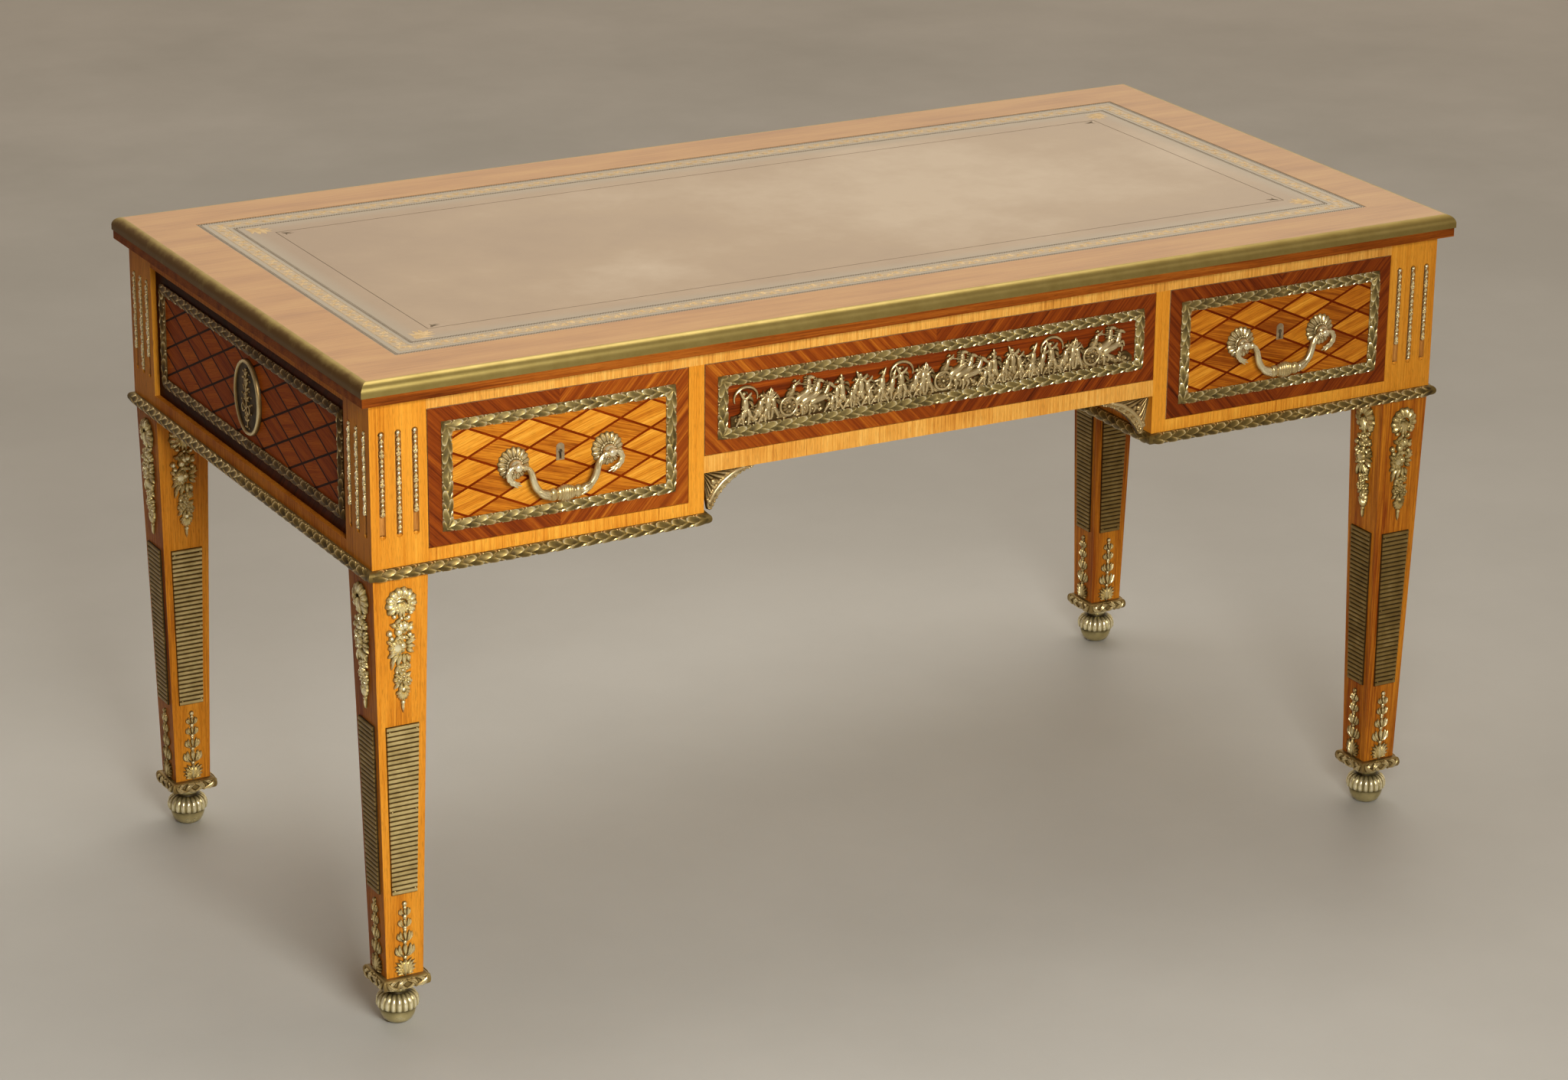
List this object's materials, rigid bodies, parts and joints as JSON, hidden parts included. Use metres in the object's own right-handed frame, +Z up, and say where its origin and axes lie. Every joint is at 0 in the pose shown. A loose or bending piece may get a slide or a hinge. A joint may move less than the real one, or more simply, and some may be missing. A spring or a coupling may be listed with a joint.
{
  "type": "writing desk",
  "caption": "Flat-topped writing desk on square tapered legs, with a leather writing surface, gilt brass mounts, frieze drawers with drop handles, and an arched kneehole.",
  "frame": {"origin": "on the floor, under the centre of the desk", "axes": "+X to the right along the front, +Y from the front to the back, +Z up"},
  "size_m": [1.45, 0.7382, 0.78],
  "materials": {
    "case_wood": "polished golden veneer",
    "veneer_wood": "polished dark crossbanding and lattice parquetry",
    "top_wood": "satin tan veneer",
    "lining_wood": "unpolished lining",
    "leather": "polished, gold tooled",
    "gilt_brass": "aged gilt",
    "steel": "plain"
  },
  "bodies": {
    "case": {"apron_rails": "case_wood", "back_laurel_frames": "gilt_brass", "back_top_rail": "case_wood", "ball_feet": "gilt_brass", "bottom_rails": "case_wood", "brass_edge": "gilt_brass", "drawer_guides": "lining_wood", "drawer_kickers": "lining_wood", "drawer_runners": "lining_wood", "drawer_stops": "lining_wood", "dust_boards": "lining_wood", "false_drawer_fronts": "veneer_wood", "flute_rods": "gilt_brass", "front_top_rail": "case_wood", "kneehole_brackets": "gilt_brass", "kneehole_side_left": "case_wood", "kneehole_side_right": "case_wood", "laurel_rods": "gilt_brass", "leg_back_left": "case_wood", "leg_back_right": "case_wood", "leg_collars": "gilt_brass", "leg_front_left": "case_wood", "leg_front_right": "case_wood", "leg_husk_drops": "gilt_brass", "leg_pendants": "gilt_brass", "leg_ribbed_plates": "gilt_brass", "side_laurel_frames": "gilt_brass", "side_medallions": "gilt_brass", "side_panels": "veneer_wood", "side_rails": "case_wood", "top_board": "case_wood", "top_border": "top_wood", "top_screws": "steel", "writing_bed": "lining_wood", "writing_leather": "leather"},
    "left_drawer": {"left_drawer_bottom": "lining_wood", "left_drawer_box": "lining_wood", "left_drawer_front": "veneer_wood", "left_drawer_laurel_frame": "gilt_brass", "left_escutcheon": "gilt_brass", "left_handle_nuts": "steel", "left_handle_rosettes": "gilt_brass", "left_lock_case": "steel"},
    "centre_drawer": {"centre_drawer_bottom": "lining_wood", "centre_drawer_box": "lining_wood", "centre_drawer_front": "veneer_wood", "centre_drawer_laurel_frame": "gilt_brass", "centre_drawer_plaque": "gilt_brass"},
    "right_drawer": {"right_drawer_bottom": "lining_wood", "right_drawer_box": "lining_wood", "right_drawer_front": "veneer_wood", "right_drawer_laurel_frame": "gilt_brass", "right_escutcheon": "gilt_brass", "right_handle_nuts": "steel", "right_handle_rosettes": "gilt_brass", "right_lock_case": "steel"},
    "left_bail": {"left_handle_bail": "gilt_brass"},
    "left_bolt": {"left_lock_bolt": "steel"},
    "right_bail": {"right_handle_bail": "gilt_brass"},
    "right_bolt": {"right_lock_bolt": "steel"}
  },
  "joints": [
    {"name": "left_drawer_slide", "type": "slide", "parent": "case", "child": "left_drawer", "axis": [0, -1, 0], "range_m": [0, 0.42]},
    {"name": "centre_drawer_slide", "type": "slide", "parent": "case", "child": "centre_drawer", "axis": [0, -1, 0], "range_m": [0, 0.42]},
    {"name": "right_drawer_slide", "type": "slide", "parent": "case", "child": "right_drawer", "axis": [0, -1, 0], "range_m": [0, 0.42]},
    {"name": "left_bail_swing", "type": "hinge", "parent": "left_drawer", "child": "left_bail", "pos_m": [-0.4815, -0.3645, 0.6565], "axis": [-1, 0, 0], "range_deg": [-6, 85]},
    {"name": "right_bail_swing", "type": "hinge", "parent": "right_drawer", "child": "right_bail", "pos_m": [0.4815, -0.3645, 0.6565], "axis": [-1, 0, 0], "range_deg": [-6, 85]},
    {"name": "left_bolt_throw", "type": "slide", "parent": "left_drawer", "child": "left_bolt", "axis": [0, 0, 1], "range_m": [0, 0.008]},
    {"name": "right_bolt_throw", "type": "slide", "parent": "right_drawer", "child": "right_bolt", "axis": [0, 0, 1], "range_m": [0, 0.008]}
  ]
}
